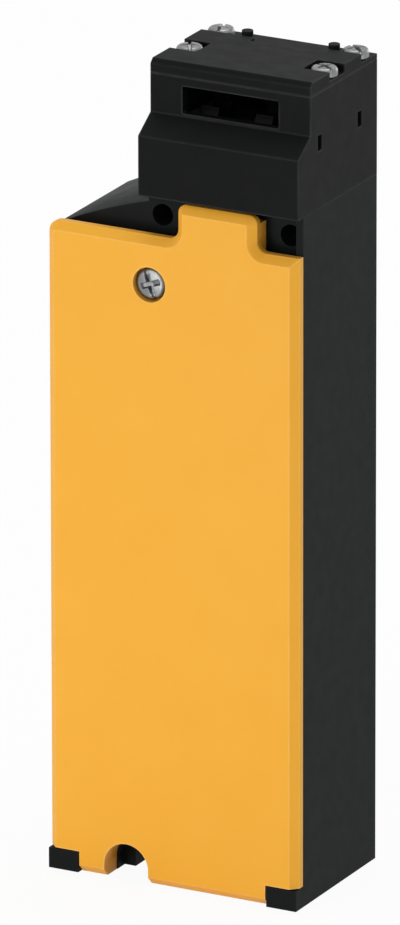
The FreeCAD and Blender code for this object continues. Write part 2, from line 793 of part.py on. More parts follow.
def make_head_lid():
    """The lid: chamfered plate, lower ledges for its four screws, scooped back, two posts."""
    front = deep("upper_setback")
    points = [(front, "lid_seam"), (BACK, "lid_seam"), (BACK, "head_top"),
              (f"({front} + head_bevel)", "head_top"), (front, "(head_top - head_bevel)")]
    high = ("ledge_height", "head_top")
    half = "notch_length / 2"
    front_y = (deep(f"(lid_screw_front - {half})"), deep(f"(lid_screw_front + {half})"))
    step_y = deep(f"(lid_screw_back - {half})")
    scoop_end = f"({HEAD_LEFT} + scoop_right)"
    cuts = [
        box((HEAD_LEFT, f"({HEAD_LEFT} + notch_reach)"), front_y, high),
        box((f"({RIGHT} - notch_reach)", RIGHT), front_y, high),
        box((HEAD_LEFT, RIGHT), (step_y, BACK), high),
        box((f"({HEAD_LEFT} + scoop_left)", scoop_end), (f"({step_y} - scoop_depth)", BACK), high),
        rod("z", (scoop_end, step_y), high, "scoop_depth"),
    ]
    holes = [rod("z", point, ("lid_seam", "head_top"), "(lid_screw_shank + joint_gap)")
             for point in CORNER_SCREWS]
    posts = [rod("z", (f"({HEAD_LEFT} + {x})", deep("post_back")),
                 ("ledge_height", "(head_top + post_height)"), "post_radius")
             for x in ("post_left", "post_right")]
    return sub_part("head_lid", fuse(cut(bar(points, (HEAD_LEFT, RIGHT)), *cuts, *holes), *posts))


def make_head_fasteners():
    """Four lid screws, their threaded inserts and the seal under the head."""
    screws = [screw("z", point, "ledge_height", "+", "lid_screw_head", "lid_screw_head_height",
                    "lid_screw_shank", "(lid_screw_length - joint_gap)") for point in CORNER_SCREWS]
    sub_part("head_lid_screws", group(*screws))
    inserts = [tube("z", point, ("(lid_seam - insert_length)", "lid_seam"),
                    "(lid_screw_shank + insert_wall / 2)", "(lid_screw_shank + screw_gap)")
               for point in CORNER_SCREWS]
    sub_part("head_inserts", group(*inserts))
    sub_part("head_seal", seal_ring())


# ---------------------------------------------------------------------------
# Rotor
# ---------------------------------------------------------------------------

ROTOR_AXIS = (ROTOR_Y, "rotor_height")


def make_carrier():
    """The carrier that holds the rotor's axle and snaps into the head's windows."""
    half_wall = f"({CARRIER_HALF} - carrier_wall)"
    y = (deep("(chamber_front + carrier_gap)"), deep("(chamber_back - carrier_gap)"))
    top = "(seat_height + carrier_height)"
    base = box((f"({HEAD_X} - {CARRIER_HALF})", f"({HEAD_X} + {CARRIER_HALF})"), y,
               ("seat_height", "(seat_height + carrier_base)"))
    walls = [
        box((f"({HEAD_X} - {CARRIER_HALF})", f"({HEAD_X} - {half_wall})"), y, ("seat_height", top)),
        box((f"({HEAD_X} + {half_wall})", f"({HEAD_X} + {CARRIER_HALF})"), y, ("seat_height", top)),
    ]
    tabs = windows(f"({CARRIER_HALF} + tab_reach)", "(window_length / 2 - tab_gap)",
                   "(window_height / 2 - tab_gap)")
    bosses = [rod("z", point, ("seat_height", "(seat_height + carrier_base + carrier_boss_height)"),
                  "carrier_boss_radius") for point in CARRIER_SCREWS]
    threads = [rod("z", point, ("seat_height", "(seat_height + carrier_base + carrier_boss_height)"),
                   "(carrier_screw_radius + running_gap)") for point in CARRIER_SCREWS]
    axle_hole = rod("x", ROTOR_AXIS, (f"({HEAD_X} - {CARRIER_HALF})", f"({HEAD_X} + {CARRIER_HALF})"),
                    "(axle_radius + screw_gap)")
    rod_hole = rod("z", (HEAD_X, ROTOR_Y), ("seat_height", "(seat_height + carrier_base)"),
                   "(rod_radius + boot_gap)")
    sub_part("rotor_carrier", cut(fuse(base, *walls, *tabs, *bosses), axle_hole, rod_hole, *threads))
    screws = [screw("z", point, CAVITY_TOP, "-", "(carrier_screw_radius * 1.8)", "carrier_base",
                    "carrier_screw_radius",
                    "(neck_height + carrier_base + carrier_boss_height - joint_gap)")
              for point in CARRIER_SCREWS]
    sub_part("carrier_screws", group(*screws))


def spiral_cam():
    """The push-rod cam: its radius falls evenly over the sweep, after a round dwell."""
    low, high = value("cam_low"), value("cam_high")
    sweep, dwell = math.radians(value("cam_sweep")), math.radians(value("cam_dwell"))

    def at(radius, turn):
        return FreeCAD.Vector(0, -radius * math.sin(turn), -radius * math.cos(turn))

    steps = 10
    falling = [at(low + (high - low) * step / steps, sweep * (step / steps - 1))
               for step in range(steps + 1)]
    curve = Part.BSplineCurve()
    curve.interpolate(falling)
    arc = Part.Arc(at(high, 0), at(high, dwell / 2), at(high, dwell))
    centre = FreeCAD.Vector()
    edges = [curve.toShape(), arc.toShape(), Part.makeLine(at(high, dwell), centre),
             Part.makeLine(centre, falling[0])]
    item = doc.addObject("Part::Feature", "SpiralCam")
    item.Shape = Part.Face(Part.Wire(edges)).extrude(FreeCAD.Vector(value("cam_width"), 0, 0))
    place(item, f"({HEAD_X} - cam_width / 2)", ROTOR_Y, "rotor_height")
    return item


def bar_notch():
    """The notch in the side discs that catches the tongue's cross bar."""
    def point(reach, side):
        half = "bar_notch_width / 2"
        y = f"({ROTOR_Y} - {reach} * sin(bar_notch_lean) {side} {half} * cos(bar_notch_lean))"
        z = f"(rotor_height + {reach} * cos(bar_notch_lean) {side} {half} * sin(bar_notch_lean))"
        return y, z

    outer = "(rotor_radius + cut_over)"
    points = [point("bar_notch_root", "-"), point("bar_notch_root", "+"),
              point(outer, "+"), point(outer, "-")]
    return bar(points, (f"({HEAD_X} - rotor_length / 2)", f"({HEAD_X} + rotor_length / 2)"))


def make_rotor():
    """The rotor with two notched discs and the cam, its axle, and its return spring's turns."""
    start, end = f"({HEAD_X} - rotor_length / 2)", f"({HEAD_X} + rotor_length / 2)"
    leg_room = "(leg_inset + leg_pitch + leg_wire + joint_gap)"
    discs = [
        rod("x", ROTOR_AXIS, (start, f"({start} + disc_width)"), "rotor_radius"),
        rod("x", ROTOR_AXIS, (f"({end} - {leg_room} - disc_width)", f"({end} - {leg_room})"),
            "rotor_radius"),
    ]
    hub = rod("x", ROTOR_AXIS, (start, end), "hub_radius")
    bore = rod("x", ROTOR_AXIS, (start, end), "(axle_radius + running_gap)")
    sub_part("rotor", cut(fuse(cut(fuse(*discs), bar_notch()), hub, spiral_cam()), bore))
    sub_part("rotor_axle", rod("x", ROTOR_AXIS, (f"({HEAD_X} - {CARRIER_HALF} + joint_gap)",
                                                 f"({HEAD_X} + {CARRIER_HALF} - joint_gap)"), "axle_radius"))
    turns = [ring("x", ROTOR_AXIS, f"({end} - leg_inset - {index} * leg_pitch)", "leg_coil_radius",
                  "leg_wire") for index in (0, 1)]
    leg = rod("z", (f"({end} - leg_inset - leg_pitch / 2)", f"({ROTOR_Y} - leg_coil_radius)"),
              ("(rotor_height - 2 * leg_wire)", "(rotor_height + leg_height)"), "leg_wire")
    sub_part("rotor_spring", fuse(*turns, leg))


# ---------------------------------------------------------------------------
# Push rod
# ---------------------------------------------------------------------------

ROD_LINE = (HEAD_X, ROTOR_Y)
NOTCH_TOP = f"(nose_height - nose_half - {CAM_LIFT} + rod_notch_height - joint_gap)"


def make_push_rod():
    """The push rod with its pointed tip and lock notch, and what guides and seals it."""
    shoulder = f"({ROD_TOP} - rod_tip)"
    solid = fuse(
        taper("z", ROD_LINE, (shoulder, ROD_TOP), "rod_radius", "rod_tip_radius"),
        rod("z", ROD_LINE, ("rod_step_height", shoulder), "rod_radius"),
        rod("z", ROD_LINE, ("rod_bottom", "rod_step_height"), "rod_low_radius"))
    notch_low = f"({NOTCH_TOP} - rod_notch_height)"
    left = f"({HEAD_X} - rod_low_radius)"
    notch = box((f"({left} - cut_over)", f"({left} + rod_notch_depth)"),
                (f"({ROTOR_Y} - rod_low_radius)", f"({ROTOR_Y} + rod_low_radius)"),
                (notch_low, NOTCH_TOP))
    sub_part("push_rod", cut(solid, notch))
    sub_part("rod_bush", tube("z", ROD_LINE, (BUSH_LOW, BOOT_LOW), "(rod_radius + bush_wall)",
                              "(rod_radius + running_gap)"))
    sub_part("rod_boot", tube("z", ROD_LINE, (BOOT_LOW, "(seat_height - seal_thick)"), "boot_radius",
                              "(rod_radius + boot_gap)"))


# ---------------------------------------------------------------------------
# Switch block
# ---------------------------------------------------------------------------

def bridge_levels():
    """Z of the underside of each moving bridge, from the lower to the upper."""
    return [f"(bridge_low + {index} * bridge_pitch)" for index in (0, 1)]


def strip_level(level):
    """Z of the underside of a fixed contact, just out of a raised bridge's reach."""
    return f"({level} + bridge_thick + {CAM_LIFT} + contact_gap)"


BRIDGE_Y = (f"({ROTOR_Y} - bridge_depth / 2)", f"({ROTOR_Y} + bridge_depth / 2)")
BLOCK_LEFT = f"({HEAD_X} - block_width / 2)"
BLOCK_RIGHT = f"({HEAD_X} + block_width / 2)"
PLATE_FRONT = f"({deep('block_front')} - strip_thick)"


def strip_sides():
    """X spans of the fixed contacts, at the two ends of the bridges."""
    reach = "bridge_length / 2"
    return [(f"({HEAD_X} - {reach})", f"({HEAD_X} - {reach} + strip_width)"),
            (f"({HEAD_X} + {reach} - strip_width)", f"({HEAD_X} + {reach})")]


def terminal_spots():
    """Centres of the four terminal screws on the front of the switch block."""
    return [(f"(({side[0]} + {side[1]}) / 2)", f"({strip_level(level)} + terminal_rise)")
            for level in bridge_levels() for side in strip_sides()]


def make_switch_block():
    """The switch block: its body with the slide's channel and the bridges' windows."""
    body = box((BLOCK_LEFT, BLOCK_RIGHT), (deep("block_front"), CHASSIS_FRONT),
               ("block_base", "block_top"))
    ear = box((BLOCK_RIGHT, f"({BLOCK_RIGHT} + ear_width)"),
              (f"({CHASSIS_FRONT} - ear_thick)", CHASSIS_FRONT), ("block_base", "block_top"))
    half = "(slide_width / 2 + slide_gap)"
    channel = box((f"({HEAD_X} - {half})", f"({HEAD_X} + {half})"),
                  (deep("(slide_front - slide_gap)"), deep("(slide_front + slide_depth + slide_gap)")),
                  ("(block_base + block_floor)", "block_top"))
    reach = "(bridge_length / 2 + slide_gap)"
    gaps = [box((f"({HEAD_X} - {reach})", f"({HEAD_X} + {reach})"),
                (deep("(slide_front - slide_gap)"), deep("(slide_front + slide_depth + slide_gap)")),
                (f"({level} - bridge_play)", f"({strip_level(level)} + strip_thick)"))
            for level in bridge_levels()]
    slots = [box(side, (deep("block_front"), deep("slide_front")),
                 (strip_level(level), f"({strip_level(level)} + strip_thick)"))
             for level in bridge_levels() for side in strip_sides()]
    threads = [rod("y", point, (deep("block_front"), deep("slide_front")), "(terminal_shank + screw_gap)")
               for point in terminal_spots()]
    holes = [rod("y", point, (f"({CHASSIS_FRONT} - ear_thick)", CHASSIS_FRONT),
                 "(chassis_screw_radius + joint_gap)") for point in EAR_SCREWS]
    sub_part("switch_block", cut(fuse(body, ear), channel, *gaps, *slots, *threads, *holes))
    sub_part("switch_block_screws", group(*[
        screw("y", point, f"({CHASSIS_FRONT} - ear_thick)", "-", "chassis_screw_head * 0.8", "ear_thick / 2",
              "chassis_screw_radius", "(ear_thick + wall)") for point in EAR_SCREWS]))


def make_contacts():
    """The slide with its two bridges, the four fixed contacts and their screws."""
    slide = box((f"({HEAD_X} - slide_width / 2)", f"({HEAD_X} + slide_width / 2)"),
                (deep("slide_front"), deep("(slide_front + slide_depth)")), ("slide_base", "rod_bottom"))
    bridges = [box((f"({HEAD_X} - bridge_length / 2)", f"({HEAD_X} + bridge_length / 2)"), BRIDGE_Y,
                   (level, f"({level} + bridge_thick)")) for level in bridge_levels()]
    sub_part("contact_slide", cut(slide, *bridges))
    sub_part("contact_bridges", group(*bridges))
    fixed = []
    for level in bridge_levels():
        for side in strip_sides():
            base = strip_level(level)
            strip = box(side, (PLATE_FRONT, BRIDGE_Y[1]), (base, f"({base} + strip_thick)"))
            upright = box(side, (PLATE_FRONT, deep("block_front")),
                          (base, f"({base} + terminal_rise + terminal_head)"))
            fixed.append(fuse(strip, upright))
    spots = terminal_spots()
    holes = [rod("y", point, (PLATE_FRONT, deep("block_front")), "(terminal_shank + screw_gap)")
             for point in spots]
    sub_part("fixed_contacts", group(*[cut(piece, hole) for piece, hole in zip(fixed, holes)]))
    sub_part("contact_screws", group(*[
        screw("y", point, PLATE_FRONT, "-", "terminal_head * 0.65", "(terminal_head * 0.7)",
              "terminal_shank", "(slide_front - block_front - joint_gap)") for point in spots]))
    sub_part("slide_spring", spring((HEAD_X, ROTOR_Y), "(block_base + block_floor)", "slide_base",
                                    "slide_spring_radius", "slide_spring_wire", 6))


# ---------------------------------------------------------------------------
# Solenoid, lock lever and chassis
# ---------------------------------------------------------------------------

COIL = (SOLENOID_X, ROTOR_Y)
COIL_LOW = "(frame_low + frame_thick)"
COIL_HIGH = "(frame_high - frame_thick)"
LEVER_Y = (f"({ROTOR_Y} - lever_thick / 2)", f"({ROTOR_Y} + lever_thick / 2)")
CLEVIS_Y = (f"({LEVER_Y[0]} - clevis_gap)", f"({LEVER_Y[1]} + clevis_gap)")


def make_solenoid():
    """The solenoid: steel frame, bobbin, winding and the fixed core."""
    half = "frame_width / 2"
    y = (f"({CHASSIS_FRONT} - frame_depth)", CHASSIS_FRONT)
    outer = box((f"({SOLENOID_X} - {half})", f"({SOLENOID_X} + {half})"), y, ("frame_low", "frame_high"))
    inner = box((f"({SOLENOID_X} - {half} + frame_thick)", f"({SOLENOID_X} + {half} - frame_thick)"), y,
                (COIL_LOW, COIL_HIGH))
    bore = rod("z", COIL, (COIL_HIGH, "frame_high"), "bobbin_bore")
    seat = rod("z", COIL, ("frame_low", COIL_LOW), "armature_radius")
    sub_part("solenoid_frame", cut(outer, inner, bore, seat))
    shell = fuse(
        rod("z", COIL, (COIL_LOW, COIL_HIGH), "(bobbin_bore + bobbin_wall)"),
        rod("z", COIL, (COIL_LOW, f"({COIL_LOW} + bobbin_flange)"), "winding_radius"),
        rod("z", COIL, (f"({COIL_HIGH} - bobbin_flange)", COIL_HIGH), "winding_radius"))
    sub_part("coil_bobbin", cut(shell, rod("z", COIL, (COIL_LOW, COIL_HIGH), "bobbin_bore")))
    sub_part("coil_winding", tube("z", COIL, (f"({COIL_LOW} + bobbin_flange)",
                                              f"({COIL_HIGH} - bobbin_flange)"),
                                  "(winding_radius - joint_gap)", "(bobbin_bore + bobbin_wall)"))
    sub_part("fixed_core", rod("z", COIL, ("frame_low", "(armature_low - armature_travel - armature_air)"),
                               "armature_radius"))


def make_armature():
    """The armature with its spring collar and clevis, the cross pin and the spring."""
    top = "(lever_height + armature_radius)"
    solid = fuse(rod("z", COIL, ("armature_low", top), "armature_radius"),
                 rod("z", COIL, ("collar_height", "(collar_height + collar_thick)"), "collar_radius"))
    clevis = box((f"({SOLENOID_X} - armature_radius)", f"({SOLENOID_X} + armature_radius)"), CLEVIS_Y,
                 ("(lever_height - armature_radius)", top))
    pin = rod("y", (SOLENOID_X, "lever_height"), (f"({ROTOR_Y} - armature_radius)",
                                                  f"({ROTOR_Y} + armature_radius)"), "cross_pin_radius")
    sub_part("armature", cut(solid, clevis, pin))
    sub_part("armature_pin", pin)
    sub_part("armature_spring", spring(COIL, "frame_high", "collar_height",
                                       "(armature_radius + 3 * return_wire)", "return_wire", 3))


def make_lever():
    """The lock lever that the armature tips, its pin, spacer and clip."""
    left = f"({SOLENOID_X} - cross_pin_radius * 2)"
    right = f"({PIVOT_X} + lever_pin_radius * 2)"
    nose = f"({HEAD_X} - rod_low_radius - nose_gap)"
    low, high = "(lever_height - lever_half_bar)", "(lever_height + lever_half_bar)"
    arm_left = f"({PIVOT_X} - lever_pin_radius)"
    points = [(left, low), (right, low), (right, "(nose_height - nose_half * 2)"),
              (nose, "(nose_height - nose_half)"), (nose, "(nose_height + nose_half)"),
              (arm_left, "(nose_height + nose_half)"), (arm_left, high), (left, high)]
    pivot = rod("y", (PIVOT_X, "lever_height"), LEVER_Y, "(lever_pin_radius + running_gap)")
    grip = "(cross_pin_radius + lever_side_gap)"
    fork = box((left, f"({SOLENOID_X} + cross_pin_radius * 2)"), LEVER_Y,
               (f"(lever_height - {grip})", f"(lever_height + {grip})"))
    sub_part("lock_lever", cut(plate(points, LEVER_Y), pivot, fork))
    line = (PIVOT_X, "lever_height")
    clip_back = f"({LEVER_Y[0]} - lever_side_gap)"
    clip_front = f"({clip_back} - strip_thick)"
    sub_part("lever_pin", rod("y", line, (f"({clip_front} - strip_thick)", CHASSIS_BACK),
                              "lever_pin_radius"))
    sub_part("lever_clip", tube("y", line, (clip_front, clip_back), "(lever_pin_radius * 2)",
                                "lever_pin_radius"))
    sub_part("lever_spacer", tube("y", line, (f"({LEVER_Y[1]} + lever_side_gap)", CHASSIS_FRONT),
                                  "(lever_pin_radius * 1.8)", "lever_pin_radius"))


def make_chassis():
    """The steel chassis behind the solenoid and its screws into the housing."""
    y = (CHASSIS_FRONT, CHASSIS_BACK)
    sheet_metal = box((across("chassis_left"), across("chassis_right")), y,
                      ("chassis_low", "chassis_high"))
    pin_hole = rod("y", (PIVOT_X, "lever_height"), y, "lever_pin_radius")
    holes = [rod("y", point, y, "(chassis_screw_radius + joint_gap)") for point in CHASSIS_SCREWS]
    sub_part("chassis", cut(sheet_metal, pin_hole, *holes))
    sub_part("chassis_screws", group(*[
        screw("y", point, CHASSIS_FRONT, "-", "chassis_screw_head", "chassis_screw_radius",
              "chassis_screw_radius", "(chassis_thick + wall)") for point in CHASSIS_SCREWS]))


def make_supply_terminals():
    """The two-way terminal block that feeds the coil, with its clamps and screws."""
    y = (deep("supply_front"), CHASSIS_FRONT)
    body = box((f"({SUPPLY_X} - supply_width / 2)", f"({SUPPLY_X} + supply_width / 2)"), y,
               ("supply_low", "(supply_low + supply_height)"))
    middle = "(supply_low + supply_height / 2)"
    spots = [(f"({SUPPLY_X} {sign} supply_pitch * 0.65)", middle) for sign in "-+"]
    threads = [rod("y", point, (y[0], f"({y[0]} + supply_height / 2)"), "(terminal_shank + screw_gap)")
               for point in spots]
    fixing = rod("y", SUPPLY_SCREWS[0], y, "(chassis_screw_radius + joint_gap)")
    sub_part("supply_block", cut(body, fixing, *threads))
    clamps = []
    for x, z in spots:
        clamp = box((f"({x} - strip_width / 2)", f"({x} + strip_width / 2)"),
                    (f"({y[0]} - strip_thick)", y[0]), (f"({z} - terminal_rise)", f"({z} + terminal_rise)"))
        clamps.append(cut(clamp, rod("y", (x, z), (f"({y[0]} - strip_thick)", y[0]),
                                     "(terminal_shank + screw_gap)")))
    sub_part("supply_clamps", group(*clamps))
    sub_part("supply_screws", group(*[
        screw("y", point, f"({y[0]} - strip_thick)", "-", "terminal_head * 0.65", "terminal_head * 0.7",
              "terminal_shank", "supply_height / 2") for point in spots]))
    sub_part("supply_fixing_screw", screw("y", SUPPLY_SCREWS[0], y[0], "-", "chassis_screw_head",
                                          "chassis_screw_radius", "chassis_screw_radius",
                                          "(block_back - supply_front + wall)"))


# ---------------------------------------------------------------------------
# Build, check and write
# ---------------------------------------------------------------------------

def build():
    """Makes every sub-part of the switch."""
    make_housing()
    make_cover()
    make_cover_fittings()
    make_head_housing()
    make_head_lid()
    make_head_fasteners()
    make_carrier()
    make_rotor()
    make_push_rod()
    make_switch_block()
    make_contacts()
    make_solenoid()
    make_armature()
    make_lever()
    make_chassis()
    make_supply_terminals()
    doc.recompute()


def check():
    """Stops on any failed object or any empty or invalid sub-part."""
    for item in doc.Objects:
        if "Invalid" in item.State or "Error" in item.State:
            raise RuntimeError(f"{item.Label} failed: {item.State}")
    for item in SUB_PARTS:
        if item.Shape.isNull() or not item.Shape.isValid() or not item.Shape.Solids:
            raise RuntimeError(f"{item.Label} has no valid solid")


def write():
    """Writes each sub-part's shape to a STEP file named after its label."""
    os.makedirs("parts", exist_ok=True)
    for item in SUB_PARTS:
        item.Shape.exportStep(os.path.join("parts", f"{item.Label}.step"))
        print(f"{item.Label}: {len(item.Shape.Solids)} solid(s), {item.Shape.Volume:.1f} mm3")


build()
check()
write()
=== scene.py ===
"""Finish and light a tongue interlock switch: its moulded shells, fixings, lock and contacts."""

import json
import logging
import math
from dataclasses import dataclass
from enum import Enum

import bmesh
import bpy
import numpy as np
from mathutils import Matrix, Vector

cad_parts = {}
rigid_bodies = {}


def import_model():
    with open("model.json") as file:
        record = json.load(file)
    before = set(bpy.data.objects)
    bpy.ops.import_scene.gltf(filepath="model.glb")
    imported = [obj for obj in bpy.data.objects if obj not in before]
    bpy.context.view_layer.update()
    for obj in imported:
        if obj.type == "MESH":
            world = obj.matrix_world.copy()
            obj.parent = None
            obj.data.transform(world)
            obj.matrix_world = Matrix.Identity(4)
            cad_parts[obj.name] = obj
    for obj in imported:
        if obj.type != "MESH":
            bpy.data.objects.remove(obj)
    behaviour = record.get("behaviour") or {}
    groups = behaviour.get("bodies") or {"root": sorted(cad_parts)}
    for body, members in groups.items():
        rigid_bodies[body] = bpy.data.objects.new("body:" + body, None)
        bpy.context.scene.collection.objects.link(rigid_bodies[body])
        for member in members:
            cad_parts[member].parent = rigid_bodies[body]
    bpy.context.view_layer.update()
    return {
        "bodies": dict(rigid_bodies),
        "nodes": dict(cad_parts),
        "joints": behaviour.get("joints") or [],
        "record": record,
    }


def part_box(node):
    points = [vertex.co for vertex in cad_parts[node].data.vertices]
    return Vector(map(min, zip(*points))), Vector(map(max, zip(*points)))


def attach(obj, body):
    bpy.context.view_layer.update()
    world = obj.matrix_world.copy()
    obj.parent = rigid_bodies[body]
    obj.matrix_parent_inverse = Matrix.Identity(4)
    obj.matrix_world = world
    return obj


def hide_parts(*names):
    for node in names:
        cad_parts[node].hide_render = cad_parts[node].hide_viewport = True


LOG = logging.getLogger("switch")
MM = 0.001
Colour = tuple[float, float, float]


# ---------------------------------------------------------------------------
# Finishes
# ---------------------------------------------------------------------------


class Graph:
    """The node tree of one material, with short ways to add and join its nodes."""

    def __init__(self, name: str) -> None:
        """Start an empty tree.

        Args:
            name: the material's name.
        """
        self.material = bpy.data.materials.new(name)
        self.material.use_nodes = True
        self.tree = self.material.node_tree
        self.tree.nodes.clear()
        self.output = self.add("ShaderNodeOutputMaterial")
        self.place = self.add("ShaderNodeTexCoord").outputs["Object"]

    def add(self, kind: str, **settings: object) -> bpy.types.Node:
        """Add a node.

        Args:
            kind: the node's type.
            **settings: the node's own settings.

        Returns:
            The new node.
        """
        node = self.tree.nodes.new(kind)
        for name, value in settings.items():
            setattr(node, name, value)
        return node

    def feed(self, node: bpy.types.Node, **sockets: object) -> bpy.types.Node:
        """Give a node's inputs a value, or join them to another node's output.

        Args:
            node: the node.
            **sockets: input names, with _ for a space, and what goes in.

        Returns:
            The same node.
        """
        for name, value in sockets.items():
            socket = node.inputs[name.replace("_", " ")]
            if isinstance(value, bpy.types.NodeSocket):
                self.tree.links.new(value, socket)
            else:
                socket.default_value = value
        return node

    def noise(self, size: float, detail: float = 2.0,
              stretch: Vector | None = None) -> bpy.types.NodeSocket:
        """A cloud of values from 0 to 1.

        Args:
            size: the width of one blob, in metres.
            detail: how many finer layers it has.
            stretch: how much longer the blobs are along X, Y and Z.

        Returns:
            The noise node's value.
        """
        place = self.place
        if stretch is not None:
            squeeze = self.add("ShaderNodeMapping")
            squeeze.inputs["Scale"].default_value = [1.0 / s for s in stretch]
            self.tree.links.new(place, squeeze.inputs["Vector"])
            place = squeeze.outputs["Vector"]
        cloud = self.feed(self.add("ShaderNodeTexNoise"), Vector=place, Scale=1.0 / size, Detail=detail)
        return cloud.outputs["Fac"]

    def spread(self, value: bpy.types.NodeSocket, low: float, high: float,
               start: float = 0.3, end: float = 0.7) -> bpy.types.NodeSocket:
        """Carry a value from start..end over to low..high.

        Args:
            value: the value to carry over.
            low: what start becomes.
            high: what end becomes.
            start: the lower end of the value.
            end: the upper end of the value.

        Returns:
            The new value.
        """
        carried = self.add("ShaderNodeMapRange")
        carried.inputs["From Min"].default_value = start
        carried.inputs["From Max"].default_value = end
        carried.inputs["To Min"].default_value = low
        carried.inputs["To Max"].default_value = high
        self.tree.links.new(value, carried.inputs["Value"])
        return carried.outputs["Result"]

    def tint(self, share: bpy.types.NodeSocket, base: object, other: object) -> bpy.types.NodeSocket:
        """Mix two colours.

        Args:
            share: how much of the second colour shows.
            base: the first colour, or an output that gives it.
            other: the second colour, or an output that gives it.

        Returns:
            The mixed colour.
        """
        mix = self.add("ShaderNodeMix", data_type="RGBA")
        self.tree.links.new(share, mix.inputs["Factor"])
        for socket, colour in ((mix.inputs[6], base), (mix.inputs[7], other)):
            if isinstance(colour, bpy.types.NodeSocket):
                self.tree.links.new(colour, socket)
            else:
                socket.default_value = (*colour, 1.0)
        return mix.outputs[2]

    def edges(self, radius: float) -> bpy.types.NodeSocket:
        """How close the surface is to an edge: the turn between its own and a rounded normal.

        Args:
            radius: how far the edge reaches, in metres.

        Returns:
            A value from 0 on flats to 1 on edges.
        """
        rounded = self.feed(self.add("ShaderNodeBevel", samples=4), Radius=radius).outputs["Normal"]
        plain = self.add("ShaderNodeNewGeometry").outputs["Normal"]
        turn = self.add("ShaderNodeVectorMath", operation="DOT_PRODUCT")
        self.tree.links.new(rounded, turn.inputs[0])
        self.tree.links.new(plain, turn.inputs[1])
        return self.spread(turn.outputs["Value"], 1.0, 0.0, 0.80, 0.995)

    def bump(self, height: bpy.types.NodeSocket, depth: float,
             under: bpy.types.NodeSocket | None = None) -> bpy.types.NodeSocket:
        """Raise the surface by a value.

        Args:
            height: the value, from 0 to 1.
            depth: how high 1 stands, in metres.
            under: a bump that this one lies on.

        Returns:
            The bumped normal.
        """
        node = self.feed(self.add("ShaderNodeBump"), Height=height, Distance=depth)
        if under is not None:
            self.feed(node, Normal=under)
        return node.outputs["Normal"]

    def close(self, **sockets: object) -> bpy.types.Material:
        """End the tree in a surface shader.

        Args:
            **sockets: the shader's inputs.

        Returns:
            The finished material.
        """
        shader = self.feed(self.add("ShaderNodeBsdfPrincipled"), **sockets)
        self.tree.links.new(shader.outputs["BSDF"], self.output.inputs["Surface"])
        return self.material


@dataclass(frozen=True)
class Moulding:
    """Injection-moulded plastic with a spark-eroded grain, soft mottling and a painted highlight along its
    edges.
    """

    name: str
    colour: Colour
    mottled: Colour
    edge_highlight: Colour
    edge_highlight_strength: float = 0.35
    roughness: float = 0.5
    gloss: float = 0.4
    grain: float = 0.32 * MM
    grain_depth: float = 0.02 * MM
    edge: float = 0.5 * MM
    ior: float = 1.45
    cloud_size: float = 14 * MM
    highlight_patch_size: float = 5 * MM
    sheen_size: float = 3 * MM

    def mix(self) -> bpy.types.Material:
        """The material: colour clouds, a painted highlight on the edges in patches, two sizes of grain and
        an uneven sheen.
        """
        graph = Graph(self.name)
        clouds = graph.spread(graph.noise(self.cloud_size, 3.0), 0.0, 1.0)
        body = graph.tint(clouds, self.colour, self.mottled)
        # Painted highlight: the edges are lightened towards the third colour, in patches.
        highlight_patches = graph.spread(graph.noise(self.highlight_patch_size, 4.0), 0.4 * self.edge_highlight_strength, self.edge_highlight_strength)
        highlit_edges = graph.add("ShaderNodeMath", operation="MULTIPLY", use_clamp=True)
        graph.tree.links.new(graph.edges(self.edge), highlit_edges.inputs[0])
        graph.tree.links.new(highlight_patches, highlit_edges.inputs[1])
        colour = graph.tint(highlit_edges.outputs[0], body, self.edge_highlight)
        sheen = graph.spread(graph.noise(self.sheen_size, 5.0),
                             self.roughness - 0.03, self.roughness + 0.04)
        coarse = graph.bump(graph.noise(self.grain, 2.0), self.grain_depth)
        fine = graph.bump(graph.noise(0.35 * self.grain, 1.0), 0.4 * self.grain_depth, coarse)
        return graph.close(Base_Color=colour, Roughness=sheen, Normal=fine,
                           Specular_IOR_Level=self.gloss, IOR=self.ior)


@dataclass(frozen=True)
class Plated:
    """Metal with a plated or ground skin: brushed streaks, a faint cloud of colour and a painted highlight
    on its edges.
    """

    name: str
    colour: Colour
    clouded: Colour
    roughness: float = 0.3
    streak: Vector = Vector((1.0, 1.0, 12.0))
    streak_size: float = 0.25 * MM
    streak_depth: float = 0.006 * MM
    cloud_size: float = 2.5 * MM
    edge: float = 0.15 * MM
    edge_glint_gain: float = 1.25

    def mix(self) -> bpy.types.Material:
        """The material: a clouded skin with a painted highlight on its edges, and streaks that roughen and
        raise it.
        """
        graph = Graph(self.name)
        clouds = graph.spread(graph.noise(self.cloud_size, 4.0), 0.0, 1.0)
        streaks = graph.noise(self.streak_size, 3.0, self.streak)
        body = graph.tint(clouds, self.colour, self.clouded)
        # Painted highlight: the edges are lightened in the base colour.
        edge_glint = tuple(min(1.0, self.edge_glint_gain * c) for c in self.colour)
        colour = graph.tint(graph.spread(graph.edges(self.edge), 0.0, 0.6, 0.0, 1.0), body, edge_glint)
        rough = graph.spread(streaks, self.roughness - 0.09, self.roughness + 0.12)
        return graph.close(Base_Color=colour, Metallic=1.0, Roughness=rough,
                           Normal=graph.bump(streaks, self.streak_depth))


@dataclass(frozen=True)
class Rubber:
    """Matt rubber with a powdery bloom and a fine pitted skin."""

    name: str
    colour: Colour
    bloom: Colour
    bloom_size: float = 1.8 * MM
    sheen_size: float = 0.8 * MM
    pit_size: float = 0.15 * MM
    pit_depth: float = 0.012 * MM

    def mix(self) -> bpy.types.Material:
        """The material: bloom in clouds over a pitted skin."""
        graph = Graph(self.name)
        powder = graph.spread(graph.noise(self.bloom_size, 5.0), 0.0, 0.7)
        colour = graph.tint(powder, self.colour, self.bloom)
        rough = graph.spread(graph.noise(self.sheen_size, 2.0), 0.68, 0.88)
        pits = graph.bump(graph.noise(self.pit_size, 2.0), self.pit_depth)
        return graph.close(Base_Color=colour, Roughness=rough, Normal=pits, Specular_IOR_Level=0.3)


